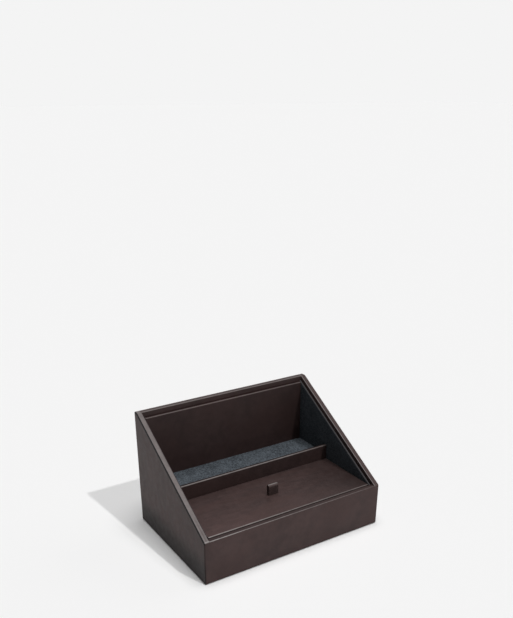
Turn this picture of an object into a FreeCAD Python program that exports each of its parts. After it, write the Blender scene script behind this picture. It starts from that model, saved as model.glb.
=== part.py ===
import FreeCAD, Part
import math
import os

# Desk-top valet box: a leather-covered case that is low in front and high at the back, with an open rear
# compartment on a raised floor, and a shallow front compartment closed by a lift-out lid.
# Millimetres, +Z up, front at -Y. The origin is the centre of the underside.

# Case, measured over the leather
CASE_WIDTH = 181.0
CASE_DEPTH = 123.2
FRONT_HEIGHT = 40.3
BACK_HEIGHT = 109.6
CORNER_RADIUS = 1.0
RIM_RADIUS = 0.9

# Stock thicknesses
WALL_BOARD = 3.5
BASE_BOARD = 3.0
LEATHER = 0.75
VELVET = 0.5
LINER_CARD = 1.4
SIDE_LINER_CARD = 0.8
BASE_SHEET = 0.6

# Leather turned over the edges
TURN_IN = 16.0
TURN_UNDER = 12.0
LINER_TURN_OVER = 9.0
BASE_SHEET_INSET = 3.0

# Linings: the gap behind each card, and how far each lining stops below the top of its wall
SIDE_LINER_SLOT = 0.6
SIDE_LINER_DROP = 4.2
BACK_LINER_SLOT = 1.3
BACK_LINER_DROP = 5.2

# Rear floor, measured up from the underside of the case
REAR_FLOOR_HEIGHT = 44.0
REAR_FLOOR_BOARD = 2.0
RISER_BOARD = 2.0

# Divider: how far it stands behind the front wall, and above the rear floor
DIVIDER_SETBACK = 65.0
DIVIDER_RISE = 10.2
DIVIDER_BOARD = 1.6
DIVIDER_EDGE_RADIUS = 1.0

# Lid and what carries it
LID_SINK = 0.2
LID_BOARD = 3.0
LID_SIDE_CLEARANCE = 0.4
LID_FRONT_CLEARANCE = 1.0
LID_BACK_CLEARANCE = 0.4
LID_LEATHER_TURN = 13.0
LID_LINING_INSET = 6.0
LID_CORNER_RADIUS = 1.5
LID_EDGE_RADIUS = 1.0
LEDGE_BOARD = 3.0

# Pull loop
LOOP_WIDTH = 10.2
LOOP_HEIGHT = 10.0
LOOP_STRAP = 1.3
LOOP_EYE = 0.5
LOOP_TAIL = 8.0
LOOP_BEHIND_MIDDLE = 0.9

# Worked out from the sizes above
WALL = WALL_BOARD + 2 * LEATHER
HALF_WIDTH = CASE_WIDTH / 2
HALF_DEPTH = CASE_DEPTH / 2
INNER_X = HALF_WIDTH - WALL
INNER_Y = HALF_DEPTH - WALL
BOARD_X = HALF_WIDTH - LEATHER - WALL_BOARD
BOARD_Y = HALF_DEPTH - LEATHER - WALL_BOARD
BOARD_BOTTOM = BASE_SHEET + LEATHER
INSIDE_BOTTOM = BOARD_BOTTOM + BASE_BOARD
SLOPE = (BACK_HEIGHT - FRONT_HEIGHT) / (CASE_DEPTH - WALL)
SLOPE_STRETCH = math.hypot(1.0, SLOPE)


def slope_height(y, drop):
    """Height of a line that runs parallel to the case's slope, `drop` straight below it."""
    return FRONT_HEIGHT + SLOPE * (y + HALF_DEPTH) - drop


SIDE_CARD_X = INNER_X - SIDE_LINER_SLOT
SIDE_FACE_X = SIDE_CARD_X - SIDE_LINER_CARD - VELVET
BACK_CARD_Y = INNER_Y - BACK_LINER_SLOT
BACK_FACE_Y = BACK_CARD_Y - LINER_CARD - LEATHER
BACK_LINER_TOP = BACK_HEIGHT - BACK_LINER_DROP

DIVIDER_FACE_Y = -INNER_Y + DIVIDER_SETBACK
DIVIDER_BACK_Y = DIVIDER_FACE_Y + DIVIDER_BOARD + 2 * LEATHER
DIVIDER_HEIGHT = REAR_FLOOR_HEIGHT + DIVIDER_RISE

LID_HEIGHT = FRONT_HEIGHT - LID_SINK
LID_UNDERSIDE = LID_HEIGHT - LID_BOARD - 2 * LEATHER
LID_X = SIDE_FACE_X - LID_SIDE_CLEARANCE
LID_FRONT_Y = -INNER_Y + LID_FRONT_CLEARANCE
LID_BACK_Y = DIVIDER_FACE_Y - LID_BACK_CLEARANCE
LOOP_Y = (LID_FRONT_Y + LID_BACK_Y) / 2 + LOOP_BEHIND_MIDDLE
FRONT_LEDGE_Y = -INNER_Y + LEDGE_BOARD
FRONT_LEDGE_FACE_Y = FRONT_LEDGE_Y + VELVET
BACK_LEDGE_Y = DIVIDER_FACE_Y - LEDGE_BOARD
BACK_LEDGE_FACE_Y = BACK_LEDGE_Y - VELVET
FRONT_FLOOR_CARD_TOP = INSIDE_BOTTOM + LINER_CARD
FRONT_FLOOR_TOP = FRONT_FLOOR_CARD_TOP + VELVET
REAR_BOARD_TOP = REAR_FLOOR_HEIGHT - VELVET
REAR_BOARD_BOTTOM = REAR_BOARD_TOP - REAR_FLOOR_BOARD
LOOP_THICKNESS = 2 * LOOP_STRAP + LOOP_EYE

ANGLE_SLACK = 1e-6
X_AXIS = FreeCAD.Vector(1, 0, 0)
Z_AXIS = FreeCAD.Vector(0, 0, 1)


def block(x0, x1, y0, y1, z0, z1):
    """A box between two corners."""
    return Part.makeBox(x1 - x0, y1 - y0, z1 - z0, FreeCAD.Vector(x0, y0, z0))


def side_slab(outline, x0, x1):
    """A slab whose side view is the outline, given as (y, z) points, from x0 to x1."""
    points = [FreeCAD.Vector(x0, y, z) for y, z in outline]
    face = Part.Face(Part.makePolygon(points + points[:1]))
    return face.extrude(FreeCAD.Vector(x1 - x0, 0, 0))


def case_outline(inset, bottom):
    """Side view of the case, drawn in by `inset` from its front, back, slope and top."""
    top = BACK_HEIGHT - inset
    front = -HALF_DEPTH + inset
    back = HALF_DEPTH - inset
    slope_at_front = FRONT_HEIGHT + SLOPE * inset - inset * SLOPE_STRETCH
    knee = front + (top - slope_at_front) / SLOPE
    return [(front, bottom), (back, bottom), (back, top), (knee, top), (front, slope_at_front)]


def liner_outline(y0, y1, bottom, drop, turn=None):
    """Side view of a side lining; with `turn`, only the strip of that height along its top edge."""
    low0 = bottom if turn is None else slope_height(y0, drop) - turn
    low1 = bottom if turn is None else slope_height(y1, drop) - turn
    return [(y0, low0), (y1, low1), (y1, slope_height(y1, drop)), (y0, slope_height(y0, drop))]


def fillet_where(shape, radius, wanted):
    """Round the edges that `wanted` picks."""
    return shape.makeFillet(radius, [edge for edge in shape.Edges if wanted(edge)])


def is_along(edge, axis):
    """True for a straight edge along the axis."""
    if edge.Curve.TypeId != "Part::GeomLine":
        return False
    return abs(abs(edge.tangentAt(edge.FirstParameter).dot(axis)) - 1) < ANGLE_SLACK


def side_board(sign):
    """Wall board of one side, the full depth of the case, with its outer upright edges rounded."""
    board = side_slab(case_outline(LEATHER, BOARD_BOTTOM), sign * BOARD_X, sign * (HALF_WIDTH - LEATHER))
    outer = HALF_WIDTH - LEATHER

    def outer_upright(edge):
        return is_along(edge, Z_AXIS) and abs(abs(edge.CenterOfMass.x) - outer) < LEATHER
    return fillet_where(board, CORNER_RADIUS - LEATHER, outer_upright)


def front_board():
    """Front wall board, between the side boards."""
    top = FRONT_HEIGHT - LEATHER
    return block(-BOARD_X, BOARD_X, -HALF_DEPTH + LEATHER, -BOARD_Y, BOARD_BOTTOM, top)


def back_board():
    """Back wall board, between the side boards."""
    top = BACK_HEIGHT - LEATHER
    return block(-BOARD_X, BOARD_X, BOARD_Y, HALF_DEPTH - LEATHER, BOARD_BOTTOM, top)


def base_board():
    """Base board, between the four wall boards."""
    return block(-BOARD_X, BOARD_X, -BOARD_Y, BOARD_Y, BOARD_BOTTOM, INSIDE_BOTTOM)


def is_outer_rim(edge):
    """True for an edge round the outside of the case's top."""
    point = edge.CenterOfMass
    outside = abs(point.x) > HALF_WIDTH - CORNER_RADIUS or abs(point.y) > HALF_DEPTH - CORNER_RADIUS
    return outside and point.z > FRONT_HEIGHT - LEATHER and not is_along(edge, Z_AXIS)


def outer_wrap():
    """Leather skin of the walls, turned over their top edges, down inside and under the base."""
    solid = side_slab(case_outline(0, BASE_SHEET), -HALF_WIDTH, HALF_WIDTH)
    solid = fillet_where(solid, CORNER_RADIUS, lambda edge: is_along(edge, Z_AXIS))
    solid = fillet_where(solid, RIM_RADIUS, is_outer_rim)
    solid = solid.cut(block(-INNER_X, INNER_X, -HALF_DEPTH, -INNER_Y, FRONT_HEIGHT, BACK_HEIGHT))
    solid = solid.cut(block(-INNER_X, INNER_X, -INNER_Y, INNER_Y, BOARD_BOTTOM, BACK_HEIGHT))
    solid = solid.cut(base_infill())
    below_turn = liner_outline(-BOARD_Y, BOARD_Y, BOARD_BOTTOM, TURN_IN)
    solid = solid.cut(side_slab(below_turn, -BOARD_X, BOARD_X))
    for board in (side_board(-1), side_board(1), front_board(), back_board()):
        solid = solid.cut(board)
    return solid


def base_infill():
    """Card under the base board that fills the space inside the turned-under leather."""
    x = HALF_WIDTH - TURN_UNDER
    y = HALF_DEPTH - TURN_UNDER
    return block(-x, x, -y, y, BASE_SHEET, BOARD_BOTTOM)


def base_sheet():
    """Felt sheet under the case, over the infill and the raw edge of the turned-under leather."""
    x = HALF_WIDTH - BASE_SHEET_INSET
    y = HALF_DEPTH - BASE_SHEET_INSET
    return block(-x, x, -y, y, 0, BASE_SHEET)


def side_liner_card(sign):
    """Card of a side lining, standing on the base board."""
    outline = liner_outline(-INNER_Y, INNER_Y, INSIDE_BOTTOM, SIDE_LINER_DROP + VELVET)
    return side_slab(outline, sign * (SIDE_FACE_X + VELVET), sign * SIDE_CARD_X)


def side_liner_velvet(sign):
    """Velvet of a side lining: its inner face, over its top edge and a strip down its back."""
    face = liner_outline(-INNER_Y, INNER_Y, INSIDE_BOTTOM, SIDE_LINER_DROP)
    skin = side_slab(face, sign * SIDE_FACE_X, sign * (SIDE_FACE_X + VELVET))
    turned = liner_outline(-INNER_Y, INNER_Y, INSIDE_BOTTOM, SIDE_LINER_DROP, LINER_TURN_OVER)
    strip = side_slab(turned, sign * (SIDE_FACE_X + VELVET), sign * (SIDE_CARD_X + VELVET))
    return skin.fuse(strip).cut(side_liner_card(sign)).removeSplitter()


def back_liner_card():
    """Card of the back lining, standing on the base board between the side linings."""
    x = SIDE_FACE_X
    return block(-x, x, BACK_FACE_Y + LEATHER, BACK_CARD_Y, INSIDE_BOTTOM, BACK_LINER_TOP - LEATHER)


def back_liner_leather():
    """Leather of the back lining: its front face, over its top edge and a strip down its back."""
    x = SIDE_FACE_X
    face = block(-x, x, BACK_FACE_Y, BACK_FACE_Y + LEATHER, INSIDE_BOTTOM, BACK_LINER_TOP)
    turned = block(-x, x, BACK_FACE_Y + LEATHER, BACK_CARD_Y + LEATHER,
                   BACK_LINER_TOP - LINER_TURN_OVER, BACK_LINER_TOP)
    return face.fuse(turned).cut(back_liner_card()).removeSplitter()


def divider_board():
    """Board of the divider, standing on the base board between the side linings."""
    x = SIDE_FACE_X
    y0 = DIVIDER_FACE_Y + LEATHER
    return block(-x, x, y0, y0 + DIVIDER_BOARD, INSIDE_BOTTOM, DIVIDER_HEIGHT - LEATHER)


def divider_leather():
    """Leather of the divider, over both faces and its rounded top edge."""
    x = SIDE_FACE_X
    solid = block(-x, x, DIVIDER_FACE_Y, DIVIDER_BACK_Y, INSIDE_BOTTOM, DIVIDER_HEIGHT)

    def top_edge(edge):
        return is_along(edge, X_AXIS) and edge.CenterOfMass.z > DIVIDER_HEIGHT - LEATHER
    return fillet_where(solid, DIVIDER_EDGE_RADIUS, top_edge).cut(divider_board())


def ledge_board(y0, y1):
    """Board of a ledge that carries the lid, standing on the base board."""
    return block(-SIDE_FACE_X, SIDE_FACE_X, y0, y1, INSIDE_BOTTOM, LID_UNDERSIDE - VELVET)


def ledge_velvet(board_face, velvet_face, back):
    """Velvet of a ledge: its face and its top."""
    x = SIDE_FACE_X
    y0, y1 = sorted((board_face, velvet_face))
    face = block(-x, x, y0, y1, INSIDE_BOTTOM, LID_UNDERSIDE)
    y0, y1 = sorted((board_face, back))
    top = block(-x, x, y0, y1, LID_UNDERSIDE - VELVET, LID_UNDERSIDE)
    return face.fuse(top).removeSplitter()


def front_floor(z0, z1):
    """One layer of the front compartment's floor, between the ledges."""
    return block(-SIDE_FACE_X, SIDE_FACE_X, FRONT_LEDGE_FACE_Y, BACK_LEDGE_FACE_Y, z0, z1)


def rear_floor(z0, z1):
    """One layer of the raised rear floor, from the divider to the back lining."""
    return block(-SIDE_FACE_X, SIDE_FACE_X, DIVIDER_BACK_Y, BACK_FACE_Y, z0, z1)


def cross_riser(y0):
    """Riser under the rear floor that runs from side to side."""
    return block(-SIDE_FACE_X, SIDE_FACE_X, y0, y0 + RISER_BOARD, INSIDE_BOTTOM, REAR_BOARD_BOTTOM)


def end_riser(sign):
    """Riser under one end of the rear floor, between the cross risers."""
    x0, x1 = sorted((sign * SIDE_FACE_X, sign * (SIDE_FACE_X - RISER_BOARD)))
    return block(x0, x1, DIVIDER_BACK_Y + RISER_BOARD, BACK_FACE_Y - RISER_BOARD,
                 INSIDE_BOTTOM, REAR_BOARD_BOTTOM)


def upright_fold(thickness, top):
    """Upright tab with a round top, as wide as the strap, from the lid's underside to `top`."""
    half = thickness / 2
    x = LOOP_WIDTH / 2
    y = LOOP_Y
    tab = block(-x, x, y - half, y + half, LID_UNDERSIDE, top - half)
    fold = Part.makeCylinder(half, LOOP_WIDTH, FreeCAD.Vector(-x, y, top - half), X_AXIS)
    return tab.fuse(fold).removeSplitter()


def loop_outside():
    """The folded strap with its eye filled in."""
    return upright_fold(LOOP_THICKNESS, LID_HEIGHT + LOOP_HEIGHT)


def loop_ends():
    """The strap's two ends under the lid board, as one flat piece."""
    x = LOOP_WIDTH / 2
    y = LOOP_Y
    reach = LOOP_THICKNESS / 2 + LOOP_TAIL
    return block(-x, x, y - reach, y + reach, LID_UNDERSIDE, LID_UNDERSIDE + LOOP_STRAP)


def loop_space():
    """What the strap takes out of the lid: a slot, and a recess for its two ends."""
    return loop_outside().fuse(loop_ends())


def pull_loop():
    """Leather strap folded double: it stands on the lid, and its two ends lie under the lid board."""
    eye = upright_fold(LOOP_EYE, LID_HEIGHT + LOOP_HEIGHT - LOOP_STRAP)
    return loop_space().cut(eye).removeSplitter()


def lid_board():
    """Lid board, slotted for the pull loop."""
    board = block(-LID_X + LEATHER, LID_X - LEATHER, LID_FRONT_Y + LEATHER, LID_BACK_Y - LEATHER,
                  LID_UNDERSIDE + LEATHER, LID_HEIGHT - LEATHER)
    return board.cut(loop_space())


def lid_turn_window():
    """The middle of the lid's underside, inside the turned-under leather."""
    turn = LID_LEATHER_TURN
    return block(-LID_X + turn, LID_X - turn, LID_FRONT_Y + turn, LID_BACK_Y - turn,
                 LID_UNDERSIDE, LID_UNDERSIDE + LEATHER)


def lid_leather():
    """Leather of the lid: its top, over its edges and turned under all round."""
    solid = block(-LID_X, LID_X, LID_FRONT_Y, LID_BACK_Y, LID_UNDERSIDE, LID_HEIGHT)

    def top_edge(edge):
        return edge.CenterOfMass.z > LID_HEIGHT - LEATHER
    solid = fillet_where(solid, LID_CORNER_RADIUS, lambda edge: is_along(edge, Z_AXIS))
    solid = fillet_where(solid, LID_EDGE_RADIUS, top_edge)
    core = block(-LID_X + LEATHER, LID_X - LEATHER, LID_FRONT_Y + LEATHER, LID_BACK_Y - LEATHER,
                 LID_UNDERSIDE + LEATHER, LID_HEIGHT - LEATHER)
    return solid.cut(core).cut(lid_turn_window()).cut(loop_space())


def lid_lining():
    """Velvet lining of the lid: it fills the middle of the underside and laps over the turned leather."""
    inset = LID_LINING_INSET
    lap = block(-LID_X + inset, LID_X - inset, LID_FRONT_Y + inset, LID_BACK_Y - inset,
                LID_UNDERSIDE - VELVET, LID_UNDERSIDE)
    return lap.fuse(lid_turn_window()).cut(loop_space()).removeSplitter()


def parts():
    """Every sub-part by its name."""
    return {
        "base_board": base_board(),
        "front_board": front_board(),
        "back_board": back_board(),
        "left_board": side_board(-1),
        "right_board": side_board(1),
        "outer_wrap": outer_wrap(),
        "base_infill": base_infill(),
        "base_sheet": base_sheet(),
        "left_liner_card": side_liner_card(-1),
        "right_liner_card": side_liner_card(1),
        "left_liner_velvet": side_liner_velvet(-1),
        "right_liner_velvet": side_liner_velvet(1),
        "back_liner_card": back_liner_card(),
        "back_liner_leather": back_liner_leather(),
        "divider_board": divider_board(),
        "divider_leather": divider_leather(),
        "front_ledge_board": ledge_board(-INNER_Y, FRONT_LEDGE_Y),
        "front_ledge_velvet": ledge_velvet(FRONT_LEDGE_Y, FRONT_LEDGE_FACE_Y, -INNER_Y),
        "back_ledge_board": ledge_board(BACK_LEDGE_Y, DIVIDER_FACE_Y),
        "back_ledge_velvet": ledge_velvet(BACK_LEDGE_Y, BACK_LEDGE_FACE_Y, DIVIDER_FACE_Y),
        "front_floor_card": front_floor(INSIDE_BOTTOM, FRONT_FLOOR_CARD_TOP),
        "front_floor_velvet": front_floor(FRONT_FLOOR_CARD_TOP, FRONT_FLOOR_TOP),
        "rear_floor_board": rear_floor(REAR_BOARD_BOTTOM, REAR_BOARD_TOP),
        "rear_floor_velvet": rear_floor(REAR_BOARD_TOP, REAR_FLOOR_HEIGHT),
        "front_riser": cross_riser(DIVIDER_BACK_Y),
        "back_riser": cross_riser(BACK_FACE_Y - RISER_BOARD),
        "left_riser": end_riser(-1),
        "right_riser": end_riser(1),
        "lid_board": lid_board(),
        "lid_leather": lid_leather(),
        "lid_lining": lid_lining(),
        "pull_loop": pull_loop(),
    }


def main():
    os.makedirs("parts", exist_ok=True)
    for name, shape in parts().items():
        solids = shape.Solids
        if not shape.isValid() or len(solids) != 1:
            raise ValueError(f"{name}: {len(solids)} solids, valid {shape.isValid()}")
        solids[0].exportStep(f"parts/{name}.step")
        box = shape.BoundBox
        print(f"{name:20s} {shape.Volume:10.1f} mm3  x {box.XMin:7.2f} {box.XMax:7.2f}  "
              f"y {box.YMin:7.2f} {box.YMax:7.2f}  z {box.ZMin:7.2f} {box.ZMax:7.2f}")


main()
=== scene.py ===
import math

import bmesh
import bpy
from bpy.props import FloatProperty, FloatVectorProperty, PointerProperty
from mathutils import Matrix, Vector, noise


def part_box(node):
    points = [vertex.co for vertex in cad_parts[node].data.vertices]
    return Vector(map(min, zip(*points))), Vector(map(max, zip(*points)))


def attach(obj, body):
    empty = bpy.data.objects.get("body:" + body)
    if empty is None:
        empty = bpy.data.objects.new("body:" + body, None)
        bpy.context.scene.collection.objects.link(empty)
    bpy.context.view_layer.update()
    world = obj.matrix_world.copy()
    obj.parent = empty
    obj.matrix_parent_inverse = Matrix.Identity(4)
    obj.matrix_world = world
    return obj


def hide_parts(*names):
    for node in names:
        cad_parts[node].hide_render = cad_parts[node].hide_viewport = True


bl_info = {
    "name": "Valet Box",
    "version": (1, 0, 0),
    "blender": (4, 5, 0),
    "location": "3D View > Sidebar > Valet Box",
    "description": "Leather, velvet, loop and studio for a wedge-shaped valet box",
    "category": "Object",
}

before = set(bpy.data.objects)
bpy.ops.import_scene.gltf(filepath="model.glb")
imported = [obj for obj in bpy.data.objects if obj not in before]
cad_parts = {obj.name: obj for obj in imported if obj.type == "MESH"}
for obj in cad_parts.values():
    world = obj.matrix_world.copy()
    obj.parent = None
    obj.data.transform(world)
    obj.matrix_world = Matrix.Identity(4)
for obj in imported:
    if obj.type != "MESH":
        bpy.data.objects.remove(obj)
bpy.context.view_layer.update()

# Places taken from the frame, in metres: front at -Y, +Z up, origin at the centre of the underside.
CASE_LOW, CASE_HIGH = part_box("outer_wrap")
SIDE_BOARD_LOW, SIDE_BOARD_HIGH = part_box("right_board")
LID_LOW, LID_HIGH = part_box("lid_leather")
LOOP_LOW, LOOP_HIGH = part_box("pull_loop")

LEATHER = CASE_HIGH.x - SIDE_BOARD_HIGH.x
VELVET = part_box("right_liner_card")[0].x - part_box("right_liner_velvet")[0].x
WALL = SIDE_BOARD_HIGH.x - SIDE_BOARD_LOW.x + 2 * LEATHER
FRONT_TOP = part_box("front_board")[1].z + LEATHER
BACK_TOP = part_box("back_board")[1].z + LEATHER
INNER_X = CASE_HIGH.x - WALL
INNER_Y = CASE_HIGH.y - WALL
SLOPE = (BACK_TOP - FRONT_TOP) / (CASE_HIGH.y + INNER_Y)

# The skins are a little thinner than the leather and the velvet, and flat sheets stop a hair short of their
# tops, to stay clear of what lies against them.
HIDE_SKIN = LEATHER - 0.00005
PILE_SKIN = VELVET - 0.00003
HAIR = 0.00002

# How finely the meshes are divided.
GRID_STEP = 0.004
BEND_STEPS = 6
WALL_ROWS = 18
TURN_ROWS = 5
STEP_ROWS = 3
LEG_STEPS = 12
FOLD_STEPS = 14
WELD_DISTANCE = 1e-6

# Angles, and the least share of a normal that looks one way, or of an edge that runs one way, to count so.
RIGHT_ANGLE = math.pi / 2
SHARP_ANGLE = math.radians(40)
FACING = 0.5
NEARLY_STRAIGHT = 0.95

# Share of a flat sheet's thickness by which its edges are rounded.
SHEET_SOFTNESS = 0.4

# The camera: turned to the left of the front, looking down.
IMAGE_WIDTH = 513
IMAGE_HEIGHT = 618
CAMERA_AZIMUTH = math.radians(-32.38)
CAMERA_ELEVATION = math.radians(26.02)
CAMERA_DISTANCE = 0.68754
CAMERA_ASIDE = -0.0020
CAMERA_UP = 0.0683
FOCAL_PIXELS = 732.93
OPTICAL_CENTRE_Y = 447.78
SENSOR = 36.0


def rim_height(y):
    """Height of a side wall's top edge: it rises from the front face to the back wall, then runs flat."""
    return min(FRONT_TOP + SLOPE * (y - CASE_LOW.y), BACK_TOP)


class ValetBoxSizes(bpy.types.PropertyGroup):
    """Sizes of the bends, the seams and the lie of the leather and the linings."""

    corner_radius: FloatProperty(
        name="Corner radius", description="Radius of the case's upright corners",
        default=0.0010, min=0.001, max=0.004, unit="LENGTH", subtype="DISTANCE")
    rim_bend: FloatProperty(
        name="Rim bend", description="Radius of the leather over the outer edge of the walls",
        default=0.0009, min=0.0003, max=0.0015, unit="LENGTH", subtype="DISTANCE")
    inner_bend: FloatProperty(
        name="Inner rim bend", description="Radius of the leather over the inner edge of the walls",
        default=0.0008, min=0.0003, max=0.0015, unit="LENGTH", subtype="DISTANCE")
    foot_bend: FloatProperty(
        name="Foot bend", description="Radius of the leather round the lower edge of the walls",
        default=0.0007, min=0.0003, max=0.0015, unit="LENGTH", subtype="DISTANCE")
    turn_in: FloatProperty(
        name="Turn-in", description="How far the leather runs down inside the walls",
        default=0.016, min=0.005, max=0.02, unit="LENGTH", subtype="DISTANCE")
    turn_under: FloatProperty(
        name="Turn-under", description="How far the leather runs in under the case",
        default=0.012, min=0.005, max=0.02, unit="LENGTH", subtype="DISTANCE")
    cover_bend: FloatProperty(
        name="Cover bend", description="Radius of the leather round the lid, the divider and the back lining",
        default=0.0009, min=0.0003, max=0.0014, unit="LENGTH", subtype="DISTANCE")
    velvet_bend: FloatProperty(
        name="Velvet bend", description="Radius of the velvet over the edges of its cards",
        default=0.0007, min=0.0003, max=0.0009, unit="LENGTH", subtype="DISTANCE")
    unevenness: FloatProperty(
        name="Unevenness", description="Height of the slight waves in the leather",
        default=0.00006, min=0.0, max=0.0003, unit="LENGTH", subtype="DISTANCE")
    strap: FloatProperty(
        name="Strap", description="Thickness of the pull loop's strap",
        default=0.0013, min=0.0008, max=0.0018, unit="LENGTH", subtype="DISTANCE")
    loop_eye: FloatProperty(
        name="Loop eye", description="Width of the eye at the top of the pull loop",
        default=0.0011, min=0.0003, max=0.002, unit="LENGTH", subtype="DISTANCE")


class ValetBoxColours(bpy.types.PropertyGroup):
    """Colours of the materials and the studio."""

    leather: FloatVectorProperty(
        name="Leather", description="Main colour of the leather", subtype="COLOR",
        default=(0.0535, 0.0328, 0.0312), min=0.0, max=1.0)
    leather_dark: FloatVectorProperty(
        name="Dark leather", description="Deeper patches in the leather", subtype="COLOR",
        default=(0.0385, 0.0236, 0.0225), min=0.0, max=1.0)
    leather_warm: FloatVectorProperty(
        name="Warm leather", description="Redder patches in the leather", subtype="COLOR",
        default=(0.0495, 0.0270, 0.0246), min=0.0, max=1.0)
    # Painted highlight: a pale colour mixed in at bends and over the rims, partly the burnish of stretched
    # leather, mostly painted highlight.
    leather_bend_highlight: FloatVectorProperty(
        name="Leather at the bends", description="Leather where a bend stretches and polishes it",
        subtype="COLOR", default=(0.275, 0.252, 0.247), min=0.0, max=1.0)
    velvet: FloatVectorProperty(
        name="Velvet", description="Main colour of the velvet", subtype="COLOR",
        default=(0.058, 0.067, 0.077), min=0.0, max=1.0)
    # A greyer velvet mixed in along a lining's top edge where it faces up.
    velvet_edge: FloatVectorProperty(
        name="Velvet at the edge", description="Velvet where it is pressed over the top edge of a card",
        subtype="COLOR", default=(0.056, 0.052, 0.054), min=0.0, max=1.0)
    velvet_sheen: FloatVectorProperty(
        name="Velvet sheen", description="Light that the pile throws back", subtype="COLOR",
        default=(0.50, 0.62, 0.75), min=0.0, max=1.0)
    board: FloatVectorProperty(
        name="Board", description="Raw fibreboard of the walls", subtype="COLOR",
        default=(0.36, 0.26, 0.17), min=0.0, max=1.0)
    card: FloatVectorProperty(
        name="Card", description="Raw grey card of the linings", subtype="COLOR",
        default=(0.30, 0.29, 0.27), min=0.0, max=1.0)
    felt: FloatVectorProperty(
        name="Felt", description="Felt under the case", subtype="COLOR",
        default=(0.020, 0.018, 0.018), min=0.0, max=1.0)
    floor: FloatVectorProperty(
        name="Floor", description="Studio floor and background", subtype="COLOR",
        default=(0.905, 0.905, 0.905), min=0.0, max=1.0)


class ValetBoxLights(bpy.types.PropertyGroup):
    """Strengths and directions of the studio light."""

    key_strength: FloatProperty(
        name="Key light", description="Strength of the main light, from the front",
        default=1.04, min=0.0, max=10.0)
    key_azimuth: FloatProperty(
        name="Key azimuth", description="Direction the main light comes from, turned from the front",
        default=math.radians(19.6), subtype="ANGLE")
    key_elevation: FloatProperty(
        name="Key elevation", description="Height of the main light above the floor",
        default=math.radians(54), subtype="ANGLE")
    key_spread: FloatProperty(
        name="Key spread", description="How wide the main light looks from the box",
        default=math.radians(1.6), subtype="ANGLE")
    side_strength: FloatProperty(
        name="Side light", description="Strength of the wide light from the right",
        default=0.16, min=0.0, max=10.0)
    side_elevation: FloatProperty(
        name="Side elevation", description="Height of the side light above the floor",
        default=math.radians(31), subtype="ANGLE")
    side_spread: FloatProperty(
        name="Side spread", description="How wide the side light looks from the box",
        default=math.radians(45), subtype="ANGLE")
    top_strength: FloatProperty(
        name="Top light", description="Strength of the wide light overhead",
        default=2.169, min=0.0, max=10.0)
    top_azimuth: FloatProperty(
        name="Top azimuth", description="Direction the overhead light leans to, turned from the front",
        default=math.radians(20), subtype="ANGLE")
    top_elevation: FloatProperty(
        name="Top elevation", description="Height of the overhead light above the floor",
        default=math.radians(87), subtype="ANGLE")
    top_spread: FloatProperty(
        name="Top spread", description="How wide the overhead light looks from the box",
        default=math.radians(35), subtype="ANGLE")
    fill: FloatProperty(
        name="Fill", description="Strength of the light from all round",
        default=0.02, min=0.0, max=5.0)


# Mesh helpers

def grid(bm, rows):
    """Add a sheet of quads through rows of points."""
    lines = [[bm.verts.new(point) for point in row] for row in rows]
    for near, far in zip(lines, lines[1:]):
        for corners in zip(near, near[1:], far[1:], far):
            bm.faces.new(corners)


def weld(bm):
    """Join the edges of sheets that meet."""
    bmesh.ops.remove_doubles(bm, verts=bm.verts, dist=WELD_DISTANCE)
    bmesh.ops.dissolve_degenerate(bm, edges=bm.edges, dist=WELD_DISTANCE)


def spread(start, end, step):
    """Even positions from start to end, about one step apart."""
    count = max(1, round(abs(end - start) / step))
    return [start + (end - start) * i / count for i in range(count + 1)]


def bend_angles():
    """Angles through a quarter turn."""
    return [RIGHT_ANGLE * i / BEND_STEPS for i in range(BEND_STEPS + 1)]


def bend_distances(radius):
    """Distances from an edge at which a quarter-round surface is sampled, from 0 to the radius."""
    return [radius * (1 - math.cos(angle)) for angle in bend_angles()]


def bend_drop(distance, radius):
    """How far a rounded edge lies below its flat top, at a distance in from the edge."""
    if distance >= radius:
        return 0.0
    return radius - math.sqrt(max(0.0, radius ** 2 - (radius - distance) ** 2))


def face_outward(bm, point, outward):
    """Turn all the faces so that the one nearest the point looks outward."""
    bm.normal_update()
    nearest = min(bm.faces, key=lambda face: (face.calc_center_median() - Vector(point)).length)
    if nearest.normal.dot(Vector(outward)) < 0:
        bmesh.ops.reverse_faces(bm, faces=bm.faces)
    bm.normal_update()


def unsettle(bm, depth, width, seed):
    """Move the surface a little along its normals, in smooth waves."""
    bm.normal_update()
    shift = Vector((seed, seed / 2, seed / 3))
    moves = [vert.normal * depth * noise.noise(vert.co / width + shift) for vert in bm.verts]
    for vert, move in zip(bm.verts, moves):
        vert.co += move


def block_marks(low, high, radius, extra):
    """Grid positions along one side of a rounded block: close in its two bends, even between them."""
    half_turn = RIGHT_ANGLE / 2
    steps = BEND_STEPS // 2
    bend = [radius * (1 - math.tan(half_turn * (1 - i / steps))) for i in range(steps)]
    marks = [low + distance for distance in bend]
    marks += spread(low + radius, high - radius, GRID_STEP)
    marks += [high - distance for distance in reversed(bend)]
    return sorted(set(marks) | set(extra))


def rounded_block(low, high, radius, extra=((), (), ())):
    """A block with all its edges rounded, as a closed mesh of quads. `extra` adds grid lines on each axis."""
    bm = bmesh.new()
    marks = [block_marks(low[i], high[i], radius, extra[i]) for i in range(3)]

    def rounded(point):
        core = Vector(min(max(point[i], low[i] + radius), high[i] - radius) for i in range(3))
        return core + (point - core).normalized() * radius

    for axis in range(3):
        along, across = (axis + 1) % 3, (axis + 2) % 3
        for end in (low[axis], high[axis]):
            rows = []
            for a in marks[along]:
                row = []
                for b in marks[across]:
                    point = Vector((0.0, 0.0, 0.0))
                    point[axis], point[along], point[across] = end, a, b
                    row.append(rounded(point))
                rows.append(row)
            grid(bm, rows)
    weld(bm)
    bmesh.ops.recalc_face_normals(bm, faces=bm.faces)
    return bm


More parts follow.
